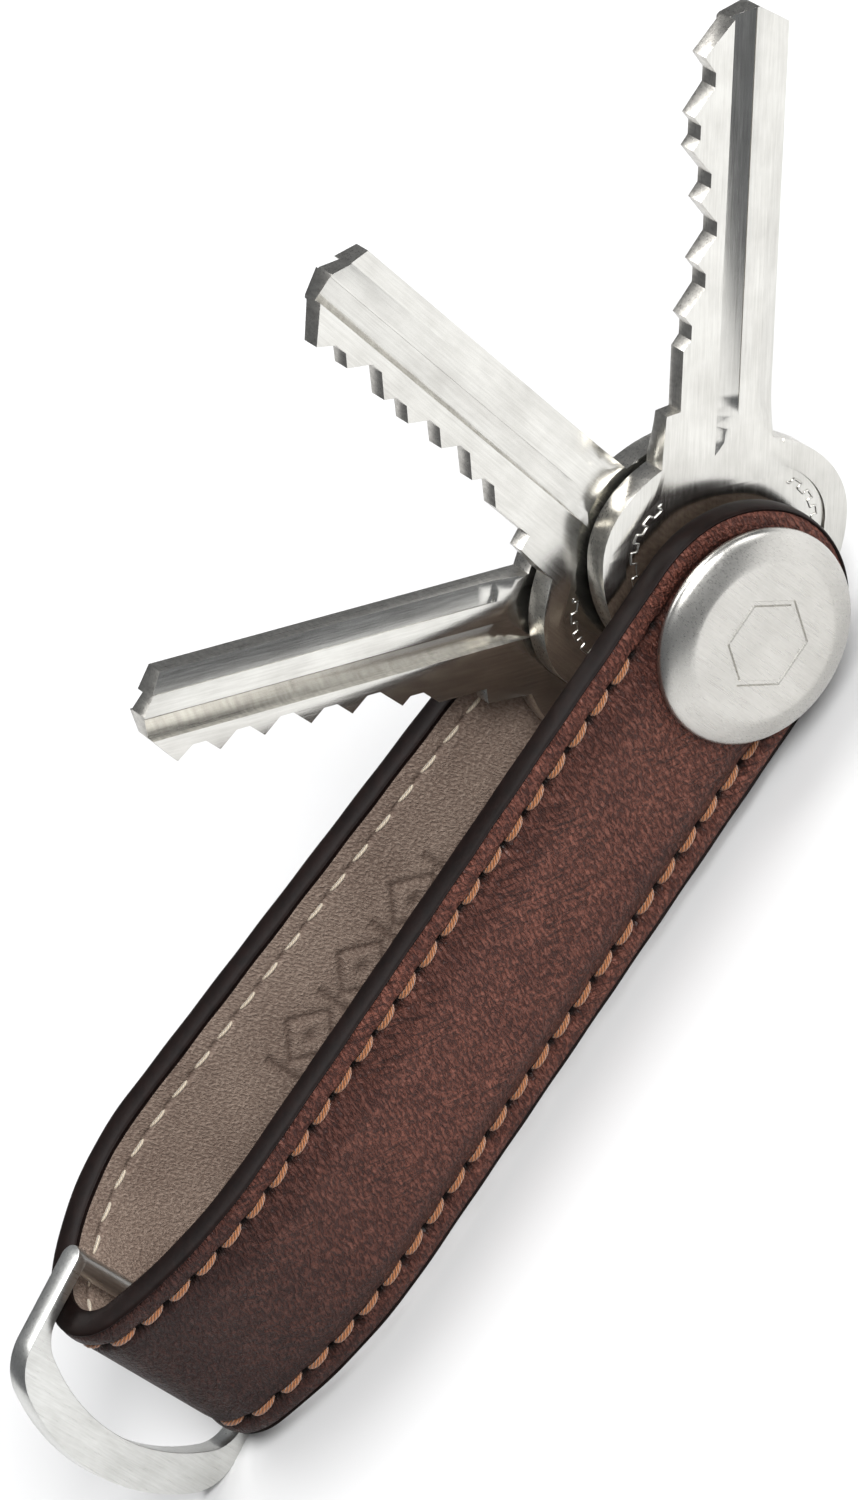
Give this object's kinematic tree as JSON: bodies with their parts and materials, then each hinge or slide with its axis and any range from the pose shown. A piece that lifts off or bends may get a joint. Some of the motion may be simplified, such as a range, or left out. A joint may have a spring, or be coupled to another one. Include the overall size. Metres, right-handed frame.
{
  "type": "leather key organiser",
  "caption": "Folded leather key organiser with a clamping post, fanning keys and a D-ring held in its bend.",
  "frame": {"origin": "middle of the flat face of the front cap, on the post axis", "axes": "+Z across the leather band's width, up; -Y out of the front cap along the post axis; +X along the band from the D-ring to the post"},
  "size_m": [0.1161, 0.0214, 0.0569],
  "materials": {
    "outer_leather": "waxy brown leather with fine grain",
    "lining_leather": "taupe leather",
    "padding": "plain foam",
    "tan_thread": "thick waxed thread",
    "cream_thread": "fine thread",
    "steel": "satin",
    "nickel": "bright nickel plate",
    "washer": "matt black"
  },
  "bodies": {
    "strap": {"outer_leather": "outer_leather", "lining": "lining_leather", "front_padding": "padding", "rear_padding": "padding", "upper_stitching": "tan_thread", "lower_stitching": "tan_thread", "upper_lining_stitching": "cream_thread", "lower_lining_stitching": "cream_thread", "front_cap": "steel", "post_barrel": "steel", "rear_cap": "steel", "clamp_screw": "steel", "front_washer": "washer", "front_spacer": "washer", "rear_spacer": "washer", "rear_washer": "washer"},
    "front_key": {"front_key": "nickel"},
    "middle_key": {"middle_key": "nickel"},
    "rear_key": {"rear_key": "nickel"},
    "d_ring": {"d_ring": "steel"}
  },
  "joints": [
    {"name": "front_key_turn", "type": "hinge", "parent": "strap", "child": "front_key", "pos_m": [0, 0.0068, 0], "axis": [0, 1, 0], "range_deg": [-140.4, 39.6]},
    {"name": "middle_key_turn", "type": "hinge", "parent": "strap", "child": "middle_key", "pos_m": [0, 0.0097, 0], "axis": [0, 1, 0], "range_deg": [-93, 87]},
    {"name": "rear_key_turn", "type": "hinge", "parent": "strap", "child": "rear_key", "pos_m": [0, 0.0125, 0], "axis": [0, 1, 0], "range_deg": [-47.4, 132.6]},
    {"name": "ring_swing", "type": "hinge", "parent": "strap", "child": "d_ring", "pos_m": [-0.0658, 0.0129, 0], "axis": [0, 0, 1], "range_deg": [-110, 65]}
  ]
}
